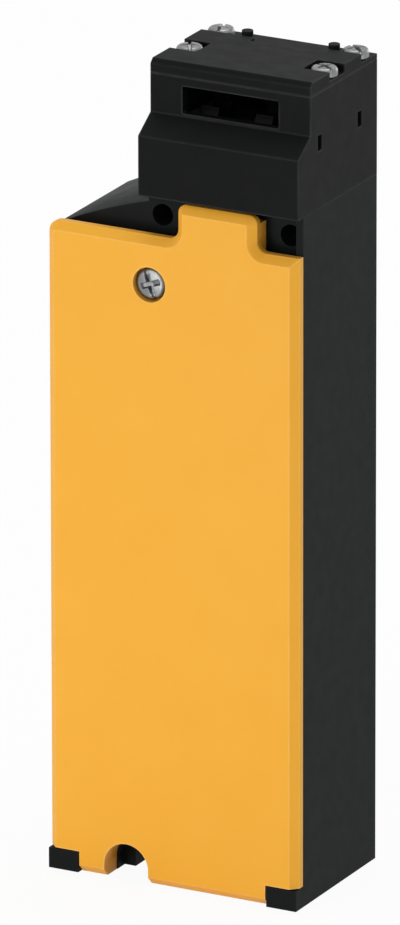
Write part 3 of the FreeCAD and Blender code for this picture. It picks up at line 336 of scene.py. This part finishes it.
@dataclass(frozen=True)
class Enamel:
    """Lacquered winding wire: deep copper under a clear skin."""

    name: str
    colour: Colour
    deep: Colour
    shade_size: float = 1.2 * MM
    sheen_size: float = 0.6 * MM
    ripple_size: float = 0.2 * MM
    ripple_depth: float = 0.004 * MM

    def mix(self) -> bpy.types.Material:
        """The material: uneven copper under a glossy coat."""
        graph = Graph(self.name)
        shade = graph.spread(graph.noise(self.shade_size, 4.0, Vector((4.0, 4.0, 1.0))), 0.0, 1.0)
        colour = graph.tint(shade, self.colour, self.deep)
        rough = graph.spread(graph.noise(self.sheen_size, 2.0), 0.24, 0.4)
        ripple = graph.bump(graph.noise(self.ripple_size), self.ripple_depth)
        return graph.close(Base_Color=colour, Metallic=0.85, Roughness=rough, Coat_Weight=0.6,
                           Coat_Roughness=0.12, Normal=ripple)


class Finish(Enum):
    """Every finish on the switch."""

    # The third colour of each moulding is its painted edge highlight.
    BLACK = Moulding("black_shell", (0.0043, 0.0047, 0.0050), (0.0052, 0.0056, 0.0060),
                     (0.090, 0.091, 0.093), edge_highlight_strength=0.72, roughness=0.53, gloss=0.28, edge=0.6 * MM, ior=1.20)
    # The housing's black has a weaker painted edge highlight than the head's.
    BODY = Moulding("black_body", (0.0062, 0.0074, 0.0078), (0.0072, 0.0084, 0.0088),
                    (0.050, 0.054, 0.055), edge_highlight_strength=0.45, roughness=0.53, gloss=0.28, edge=0.35 * MM, ior=1.20)
    YELLOW = Moulding("yellow_shell", (0.838, 0.397, 0.032), (0.856, 0.414, 0.038), (0.93, 0.64, 0.30),
                      edge_highlight_strength=0.8, roughness=0.46, gloss=0.22, grain=0.5 * MM, grain_depth=0.012 * MM)
    INNER = Moulding("inner_moulding", (0.045, 0.047, 0.052), (0.056, 0.058, 0.063), (0.12, 0.12, 0.125),
                     edge_highlight_strength=0.3, roughness=0.42, grain=0.25 * MM, grain_depth=0.010 * MM)
    # The rotor is black, and darker still as painted shade for the inside of the head's slot.
    ROTOR = Moulding("rotor_moulding", (0.0022, 0.0023, 0.0026), (0.0032, 0.0034, 0.0037),
                     (0.03, 0.03, 0.03), edge_highlight_strength=0.5, roughness=0.42, gloss=0.1,
                     grain=0.2 * MM, grain_depth=0.006 * MM)
    RUBBER = Rubber("seal_rubber", (0.012, 0.012, 0.013), (0.035, 0.035, 0.036))
    ZINC = Plated("zinc_plate", (0.25, 0.25, 0.245), (0.15, 0.155, 0.165), roughness=0.38)
    BRASS = Plated("turned_brass", (0.72, 0.50, 0.20), (0.60, 0.40, 0.15), roughness=0.28)
    SILVER = Plated("contact_silver", (0.80, 0.78, 0.73), (0.66, 0.62, 0.55), roughness=0.26)
    GROUND = Plated("ground_steel", (0.66, 0.67, 0.68), (0.58, 0.59, 0.60), roughness=0.20,
                    streak=Vector((6.0, 6.0, 1.0)), streak_size=0.12 * MM)
    FRAME = Plated("frame_steel", (0.42, 0.43, 0.45), (0.50, 0.49, 0.46), roughness=0.42)
    COPPER = Enamel("enamelled_wire", (0.62, 0.24, 0.09), (0.40, 0.12, 0.04))


SLOT_FINISH = {
    "black_moulding": Finish.BLACK,
    "yellow_moulding": Finish.YELLOW,
    "seal_rubber": Finish.RUBBER,
    "plated_steel": Finish.ZINC,
    "brass": Finish.BRASS,
    "contact_metal": Finish.SILVER,
    "inner_moulding": Finish.INNER,
    "rotor_moulding": Finish.ROTOR,
    "bright_steel": Finish.GROUND,
    "frame_steel": Finish.FRAME,
    "winding_copper": Finish.COPPER,
}


class Paintbox:
    """Mixes each finish once and hands it out."""

    def __init__(self) -> None:
        """Start with nothing mixed."""
        self.mixed: dict[Finish, bpy.types.Material] = {}

    def get(self, finish: Finish) -> bpy.types.Material:
        """The material of a finish, mixed when it is first asked for.

        Args:
            finish: the finish.

        Returns:
            Its material.
        """
        if finish not in self.mixed:
            self.mixed[finish] = finish.value.mix()
        return self.mixed[finish]

    def coat(self, obj: bpy.types.Object, finish: Finish) -> None:
        """Put a finish on a whole piece.

        Args:
            obj: the piece.
            finish: the finish.
        """
        obj.data.materials.clear()
        obj.data.materials.append(self.get(finish))


# ---------------------------------------------------------------------------
# Surfaces
# ---------------------------------------------------------------------------


def grid_faces(rows: int, columns: int, wrap_rows: bool, wrap_columns: bool) -> np.ndarray:
    """Corner numbers of the quads on a grid of points, row by row.

    Args:
        rows: points along the first way.
        columns: points along the second way.
        wrap_rows: whether the last row joins the first.
        wrap_columns: whether the last column joins the first.

    Returns:
        An array of quads, four corners each.
    """
    i, j = np.meshgrid(np.arange(rows if wrap_rows else rows - 1),
                       np.arange(columns if wrap_columns else columns - 1), indexing="ij")
    down, right = (i + 1) % rows, (j + 1) % columns
    quads = np.stack([i * columns + j, i * columns + right,
                      down * columns + right, down * columns + j], axis=-1)
    return quads.reshape(-1, 4)


def make_piece(name: str, points: np.ndarray, faces: np.ndarray,
               smooth_angle: float = 40.0) -> bpy.types.Object:
    """Turn arrays of points and faces into a closed piece whose faces point outwards.

    Args:
        name: the piece's name.
        points: an array of points, in metres.
        faces: an array of corner numbers.
        smooth_angle: edges that turn by less than this many degrees are shaded smooth.

    Returns:
        The new object, at the origin.
    """
    mesh = bpy.data.meshes.new(name)
    mesh.from_pydata(points.reshape(-1, 3).tolist(), [], faces.tolist())
    work = bmesh.new()
    work.from_mesh(mesh)
    bmesh.ops.remove_doubles(work, verts=work.verts, dist=1e-7)
    bmesh.ops.dissolve_degenerate(work, edges=work.edges, dist=1e-8)
    bmesh.ops.recalc_face_normals(work, faces=work.faces)
    work.to_mesh(mesh)
    work.free()
    mesh.shade_smooth()
    mesh.set_sharp_from_angle(angle=math.radians(smooth_angle))
    obj = bpy.data.objects.new(name, mesh)
    bpy.context.scene.collection.objects.link(obj)
    return obj


def turned(profile: np.ndarray, turns: int) -> tuple[np.ndarray, np.ndarray, np.ndarray]:
    """A turned surface: the profile's radius r carried round to (r cos a, r sin a, z).

    Args:
        profile: points (r, z) along the outline.
        turns: how many steps one turn has.

    Returns:
        The grid's points, the angle of each and the radius of each.
    """
    angle = np.linspace(0.0, 2 * math.pi, turns, endpoint=False)
    r, a = np.meshgrid(profile[:, 0], angle, indexing="ij")
    z = np.repeat(profile[:, 1:2], turns, axis=1)
    return np.stack([r * np.cos(a), r * np.sin(a), z], axis=-1), a, r


class Facing(Enum):
    """Which way a screw's head looks."""

    UP = Matrix.Identity(3)
    FRONT = Matrix.Rotation(math.pi / 2, 3, "X")


@dataclass(frozen=True)
class Screw:
    """A pan head screw with a cross recess that a slot runs through, as one closed surface.

    Fields without a length unit are shares: of the head for what lies across it, of its height for
    what goes down into it, and of the pitch for the thread.
    """

    place: tuple[float, float, float]
    facing: Facing
    head: float
    height: float
    shank: float
    length: float
    turn: float
    recess: float = 0.62
    recess_wall: float = 0.05
    recess_end: float = 0.12
    recess_fall: float = 0.55
    arm: float = 0.15
    slot: float = 0.11
    slot_depth: float = 0.42
    slot_reach: float = 1.2
    depth: float = 0.62
    dome: float = 0.14
    rounding: float = 0.38
    thread: float = 0.24
    pitch: float = 0.5 * MM
    chamfer: float = 0.4 * MM
    neck: float = 0.3 * MM
    rim: float = 0.12 * MM
    turns: int = 96
    shank_rows: int = 60
    edge_rows: int = 9
    crown_rows: int = 34

    def outline(self) -> np.ndarray:
        """The outline (r, z) from the tip, up the threaded shank and out to the middle of the head.

        The thread is a saw tooth on the radius: r = shank - thread pitch |2 frac(z / pitch) - 1|.

        Returns:
            The outline's points.
        """
        z = np.linspace(-self.length + self.chamfer, -self.neck, self.shank_rows)
        tooth = np.abs(2 * np.mod(z / self.pitch, 1.0) - 1.0)
        shank = np.stack([self.shank - self.thread * self.pitch * tooth, z], axis=-1)
        tip = np.array([[0.0, -self.length], [self.shank - self.chamfer, -self.length]])
        arc = np.linspace(0.0, math.pi / 2, self.edge_rows)
        round_edge = self.rounding * self.height
        side = np.stack([self.head - round_edge * (1 - np.cos(arc)),
                         self.height - round_edge * (1 - np.sin(arc))], axis=-1)
        radius = np.linspace(self.head - round_edge, 0.0, self.crown_rows)[1:]
        crown = np.stack([radius, np.full_like(radius, self.height)], axis=-1)
        under = np.array([[self.shank, 0.0], [self.head - self.rim, 0.0], [self.head, self.rim]])
        return np.concatenate([tip, shank, under, side, crown])

    def sink(self, x: np.ndarray, y: np.ndarray) -> np.ndarray:
        """How deep the recess is: a cross of two arms and a shallower slot across the head.

        Each groove is a ramp of |across| against its half width times one of |along| against its reach,
        and the cross grows shallower away from the middle.

        Args:
            x: places across the head.
            y: places across the head, square to x.

        Returns:
            The depth at each place, in metres.
        """
        def groove(across: np.ndarray, along: np.ndarray, half: float, reach: float) -> np.ndarray:
            """One groove: 1 inside it and 0 outside, with sloping walls and ends."""
            wall = np.clip((half - np.abs(across)) / (self.recess_wall * self.head) + 0.5, 0.0, 1.0)
            end = np.clip((reach - np.abs(along)) / (self.recess_end * self.head) + 0.5, 0.0, 1.0)
            return wall * end

        arm, reach = self.arm * self.head, self.recess * self.head
        cross = np.maximum(groove(x, y, arm, reach), groove(y, x, arm, reach))
        fall = 1.0 - self.recess_fall * np.clip(np.hypot(x, y) / reach, 0.0, 1.0)
        slot = self.slot_depth * groove(x, y, self.slot * self.head, self.slot_reach * self.head)
        return self.depth * self.height * np.maximum(cross * fall, slot)

    def surface(self) -> tuple[np.ndarray, np.ndarray]:
        """The screw's points in place and its faces.

        The top is domed by dome height (1 - (r / head)^2), lowered by 0.6 of that dome so that it stays
        inside the solid's box, and the recess is sunk into it.

        Returns:
            The points and the faces.
        """
        outline = self.outline()
        points, _, radius = turned(outline, self.turns)
        top = points[..., 2] > 0.6 * self.height
        rise = self.dome * self.height
        sunk = self.sink(points[..., 0], points[..., 1])
        points[..., 2] += np.where(top, rise * (1.0 - (radius / self.head) ** 2) - sunk - 0.6 * rise, 0.0)
        c, s = math.cos(self.turn), math.sin(self.turn)
        points = points @ np.array([[c, s, 0.0], [-s, c, 0.0], [0.0, 0.0, 1.0]])
        points = points @ np.array(self.facing.value).T + np.array(self.place)
        return points.reshape(-1, 3), grid_faces(len(outline), self.turns, False, True)


def join_surfaces(parts: list[tuple[np.ndarray, np.ndarray]]) -> tuple[np.ndarray, np.ndarray]:
    """Put several surfaces into one pair of arrays.

    Args:
        parts: the points and faces of each surface.

    Returns:
        All the points, and all the faces numbered on from one surface to the next.
    """
    starts = np.cumsum([0] + [len(points) for points, _ in parts[:-1]])
    points = np.concatenate([points for points, _ in parts])
    faces = np.concatenate([faces + start for (_, faces), start in zip(parts, starts)])
    return points, faces


# ---------------------------------------------------------------------------
# Sub-assemblies
# ---------------------------------------------------------------------------


@dataclass
class Shell:
    """A moulded shell: the solid's own walls with every outer edge rounded."""

    node: str
    body: str
    finish: Finish
    radius: float
    segments: int = 3
    turn: float = 28.0
    flat: float = 0.6
    merge: float = 1e-6

    def build(self, frame: dict) -> bpy.types.Object:
        """Merge a copy of the solid's mesh and round its edges with a bevel.


        Returns:
            The rounded shell.
        """
        mesh = frame["nodes"][self.node].data.copy()
        work = bmesh.new()
        work.from_mesh(mesh)
        bmesh.ops.remove_doubles(work, verts=work.verts, dist=self.merge)
        bmesh.ops.dissolve_limit(work, angle_limit=math.radians(self.flat), verts=work.verts,
                                 edges=work.edges, delimit={"MATERIAL"})
        work.to_mesh(mesh)
        work.free()
        obj = bpy.data.objects.new(f"{self.node}_shell", mesh)
        bpy.context.scene.collection.objects.link(obj)
        bevel = obj.modifiers.new("rounding", "BEVEL")
        bevel.width, bevel.segments = self.radius, self.segments
        bevel.limit_method, bevel.angle_limit = "ANGLE", math.radians(self.turn)
        bevel.use_clamp_overlap = True
        bevel.harden_normals = True
        bevel.miter_outer = "MITER_ARC"
        return obj

    def dress(self, frame: dict, paint: Paintbox) -> None:
        """Build the shell, coat it and put it in the solid's place.

        Args:
            paint: the finishes.
        """
        obj = self.build(frame)
        paint.coat(obj, self.finish)
        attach(obj, self.body)
        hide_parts(self.node)
        LOG.info("shell %s: %d corners", self.node, len(obj.data.vertices))


@dataclass
class Fixings:
    """The screws that show: four in the lid and one in the cover, each seated below its head's top."""

    lid_head: float = 2.55 * MM
    lid_height: float = 1.75 * MM
    lid_shank: float = 1.45 * MM
    lid_reach: float = 2.6 * MM
    lid_seat: float = 1.9 * MM
    cover_head: float = 3.2 * MM
    cover_height: float = 2.0 * MM
    cover_shank: float = 1.7 * MM
    cover_seat: float = 2.2 * MM

    def build(self) -> dict[str, bpy.types.Object]:
        """Build both sets of screws where the solids' screws are.

        Returns:
            The pieces, by the node that each stands for.
        """
        low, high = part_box("head_lid_screws")
        reach, seat = self.lid_reach, high.z - self.lid_seat
        lid = [Screw((x, y, seat), Facing.UP, self.lid_head, self.lid_height, self.lid_shank,
                     seat - low.z, turn)
               for x, y, turn in ((low.x + reach, low.y + reach, 0.5),
                                  (high.x - reach, low.y + reach, 1.15),
                                  (low.x + reach, high.y - reach, 0.2),
                                  (high.x - reach, high.y - reach, 0.9))]
        low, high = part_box("cover_screw")
        middle = 0.5 * (low + high)
        seat = low.y + self.cover_seat
        cover = Screw((middle.x, seat, middle.z), Facing.FRONT, self.cover_head, self.cover_height,
                      self.cover_shank, high.y - seat, 0.35)
        return {"head_lid_screws": make_piece("lid_screws", *join_surfaces([s.surface() for s in lid])),
                "cover_screw": make_piece("cover_fixing", *cover.surface())}

    def dress(self, paint: Paintbox) -> None:
        """Build the screws, plate them and put them in place.

        Args:
            paint: the finishes.
        """
        for node, obj in self.build().items():
            paint.coat(obj, Finish.ZINC)
            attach(obj, "cover" if node == "cover_screw" else "housing")
            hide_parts(node)
            LOG.info("screws %s: %d corners", node, len(obj.data.vertices))


@dataclass
class Coil:
    """The solenoid's winding: layers of enamelled wire seen as a fine screw on the outside."""

    wire: float = 0.42 * MM
    bore: float = 5.3 * MM
    samples: int = 5
    turns: int = 72

    def build(self) -> bpy.types.Object:
        """A turned ring of outer radius R - wire (1 - sqrt(1 - w^2)) / 2.

        The place w across a wire runs from -1 to 1, on with height and angle together, so that the
        ridge is one helix.

        Returns:
            The winding.
        """
        low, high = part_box("coil_winding")
        middle, radius, height = 0.5 * (low + high), 0.5 * (high.x - low.x), high.z - low.z
        rows = int(height / self.wire * self.samples)
        z = np.linspace(low.z, high.z, rows)
        outside = np.stack([np.full(rows, radius), z], axis=-1)
        outline = np.concatenate([[[self.bore, low.z]], outside, [[self.bore, high.z]]])
        points, angle, _ = turned(outline, self.turns)
        across = np.mod(points[..., 2] / self.wire + angle / (2 * math.pi), 1.0) * 2.0 - 1.0
        ridge = 0.5 * self.wire * (1.0 - np.sqrt(np.clip(1.0 - across ** 2, 0.0, 1.0)))
        ridge[[0, -1]] = 0.0
        shrink = 1.0 - ridge / radius
        points[..., 0] = points[..., 0] * shrink + middle.x
        points[..., 1] = points[..., 1] * shrink + middle.y
        return make_piece("wire_winding", points, grid_faces(len(outline), self.turns, True, True), 60.0)

    def dress(self, paint: Paintbox) -> None:
        """Build the winding, coat it and put it in place.

        Args:
            paint: the finishes.
        """
        obj = self.build()
        paint.coat(obj, Finish.COPPER)
        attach(obj, "housing")
        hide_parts("coil_winding")
        LOG.info("winding: %d corners", len(obj.data.vertices))


def coat_solids(frame: dict, paint: Paintbox) -> None:
    """Give every solid of the frame the finish of its slot.

    Args:
        paint: the finishes.
    """
    for piece in frame["record"]["subparts"]:
        obj = frame["nodes"][piece["node"]]
        paint.coat(obj, SLOT_FINISH[piece["material_slot"]])
        LOG.info("solid %s: %s", piece["node"], piece["material_slot"])


# ---------------------------------------------------------------------------
# Studio
# ---------------------------------------------------------------------------


def looked_at(tree: bpy.types.NodeTree) -> bpy.types.NodeSocket:
    """Whether a ray is looked along, straight, in a mirror or through glass.

    Args:
        tree: the node tree to add to.

    Returns:
        A value that is 1 for such a ray and 0 for one that only carries light.
    """
    path = tree.nodes.new("ShaderNodeLightPath")
    found = path.outputs["Is Camera Ray"]
    for kind in ("Is Glossy Ray", "Is Transmission Ray"):
        either = tree.nodes.new("ShaderNodeMath")
        either.operation = "MAXIMUM"
        tree.links.new(found, either.inputs[0])
        tree.links.new(path.outputs[kind], either.inputs[1])
        found = either.outputs[0]
    return found


@dataclass(frozen=True)
class Lamp:
    """A square soft light that looks at the middle of the switch, or somewhat below it.

    Its place and side are in metres and its power in watts; low is how far below the middle it looks.
    """

    name: str
    place: tuple[float, float, float]
    side: float
    power: float
    low: float = 0.0

    def hang(self, aim: Vector) -> None:
        """Hang the light and turn it to the switch.

        Args:
            aim: the middle of the switch.
        """
        lamp = bpy.data.lights.new(self.name, "AREA")
        lamp.energy, lamp.size, lamp.shape = self.power, self.side, "SQUARE"
        obj = bpy.data.objects.new(self.name, lamp)
        bpy.context.scene.collection.objects.link(obj)
        toward = aim - Vector((0.0, 0.0, self.low)) - Vector(self.place)
        turn = toward.to_track_quat("-Z", "Y").to_matrix().to_4x4()
        obj.matrix_world = Matrix.Translation(self.place) @ turn


LAMPS = (
    Lamp("key", (-0.40, -1.25, 0.34), 0.8, 5.1),
    Lamp("fill", (1.20, -0.55, 0.20), 0.9, 0.7),
    Lamp("side_bounce", (0.26, -0.02, 0.05), 0.08, 0.06, 0.07),
    Lamp("front_bounce", (-0.06, -0.32, 0.04), 0.08, 0.21, 0.085),
    Lamp("rear", (0.30, 1.30, 0.10), 0.8, 6.5),
    Lamp("top", (-0.10, 0.35, 1.40), 0.8, 7.2),
)


@dataclass
class Studio:
    """A pale floor, a white room, soft lights and the camera."""

    azimuth: float = 27.68
    elevation: float = 19.09
    roll: float = -0.09
    distance: float = 3.022
    lens: float = 622.7
    sensor: float = 36.0
    sight: float = 50.0
    aim: tuple[float, float, float] = (-0.00171, -0.0015, 0.08087)
    floor_half: float = 14.0
    floor_drop: float = 0.2 * MM
    floor_white: float = 0.94
    cloud_size: float = 0.4
    room_level: float = 0.45

    def floor(self) -> None:
        """A wide plain floor that keeps the shadow and is nearly white to the eye."""
        half = self.floor_half
        corners = np.array([[-half, -half, 0.0], [half, -half, 0.0], [half, half, 0.0], [-half, half, 0.0]])
        mesh = bpy.data.meshes.new("floor")
        mesh.from_pydata((corners - [0.0, 0.0, self.floor_drop]).tolist(), [], [(0, 1, 2, 3)])
        obj = bpy.data.objects.new("floor", mesh)
        bpy.context.scene.collection.objects.link(obj)
        graph = Graph("pale_floor")
        clouds = graph.spread(graph.noise(self.cloud_size, 2.0), 0.0, 1.0)
        pale = graph.tint(clouds, (0.86, 0.86, 0.86), (0.90, 0.90, 0.90))
        diffuse = graph.feed(graph.add("ShaderNodeBsdfDiffuse"), Color=pale)
        white = graph.feed(graph.add("ShaderNodeEmission"), Color=(1.0, 1.0, 1.0, 1.0), Strength=1.0)
        share = graph.add("ShaderNodeMath", operation="MULTIPLY")
        graph.tree.links.new(looked_at(graph.tree), share.inputs[0])
        share.inputs[1].default_value = self.floor_white
        mix = graph.add("ShaderNodeMixShader")
        graph.tree.links.new(share.outputs[0], mix.inputs[0])
        graph.tree.links.new(diffuse.outputs[0], mix.inputs[1])
        graph.tree.links.new(white.outputs[0], mix.inputs[2])
        graph.tree.links.new(mix.outputs[0], graph.output.inputs["Surface"])
        obj.data.materials.append(graph.material)

    def room(self) -> None:
        """A plain room: white where it is seen or mirrored, and dimmer as a light."""
        world = bpy.data.worlds.new("room")
        bpy.context.scene.world = world
        world.use_nodes = True
        tree = world.node_tree
        tree.nodes.clear()
        strength = tree.nodes.new("ShaderNodeMapRange")
        strength.inputs["To Min"].default_value = self.room_level
        strength.inputs["To Max"].default_value = 1.0
        tree.links.new(looked_at(tree), strength.inputs["Value"])
        glow = tree.nodes.new("ShaderNodeBackground")
        glow.inputs["Color"].default_value = (1.0, 1.0, 1.0, 1.0)
        tree.links.new(strength.outputs["Result"], glow.inputs["Strength"])
        out = tree.nodes.new("ShaderNodeOutputWorld")
        tree.links.new(glow.outputs[0], out.inputs["Surface"])

    def camera(self) -> None:
        """The camera, far away with a long lens, so that upright edges stay parallel."""
        a, e = math.radians(self.azimuth), math.radians(self.elevation)
        back = Vector((math.sin(a) * math.cos(e), -math.cos(a) * math.cos(e), math.sin(e)))
        right = Vector((math.cos(a), math.sin(a), 0.0))
        up = back.cross(right)
        turn = math.radians(self.roll)
        across = math.cos(turn) * right + math.sin(turn) * up
        above = -math.sin(turn) * right + math.cos(turn) * up
        data = bpy.data.cameras.new("camera")
        data.lens, data.sensor_width, data.clip_end = self.lens, self.sensor, self.sight
        obj = bpy.data.objects.new("camera", data)
        bpy.context.scene.collection.objects.link(obj)
        axes = Matrix((across, above, back)).transposed().to_4x4()
        obj.matrix_world = Matrix.Translation(Vector(self.aim) + self.distance * back) @ axes
        bpy.context.scene.camera = obj

    def build(self) -> None:
        """Set up the floor, the room, the lights and the camera."""
        self.floor()
        self.room()
        for lamp in LAMPS:
            lamp.hang(Vector(self.aim))
        self.camera()
        bpy.context.scene.view_settings.view_transform = "Standard"


def main() -> None:
    """Load the frame, dress every piece and set up the studio."""
    logging.basicConfig(level=logging.INFO, format="%(message)s")
    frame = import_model()
    paint = Paintbox()
    coat_solids(frame, paint)
    for shell in (Shell("housing", "housing", Finish.BODY, 0.30 * MM),
                  Shell("front_cover", "cover", Finish.YELLOW, 0.30 * MM),
                  Shell("head_housing", "housing", Finish.BLACK, 0.35 * MM),
                  Shell("head_lid", "housing", Finish.BLACK, 0.30 * MM)):
        shell.dress(frame, paint)
    Fixings().dress(paint)
    Coil().dress(paint)
    Studio().build()


if __name__ == "__main__":
    main()
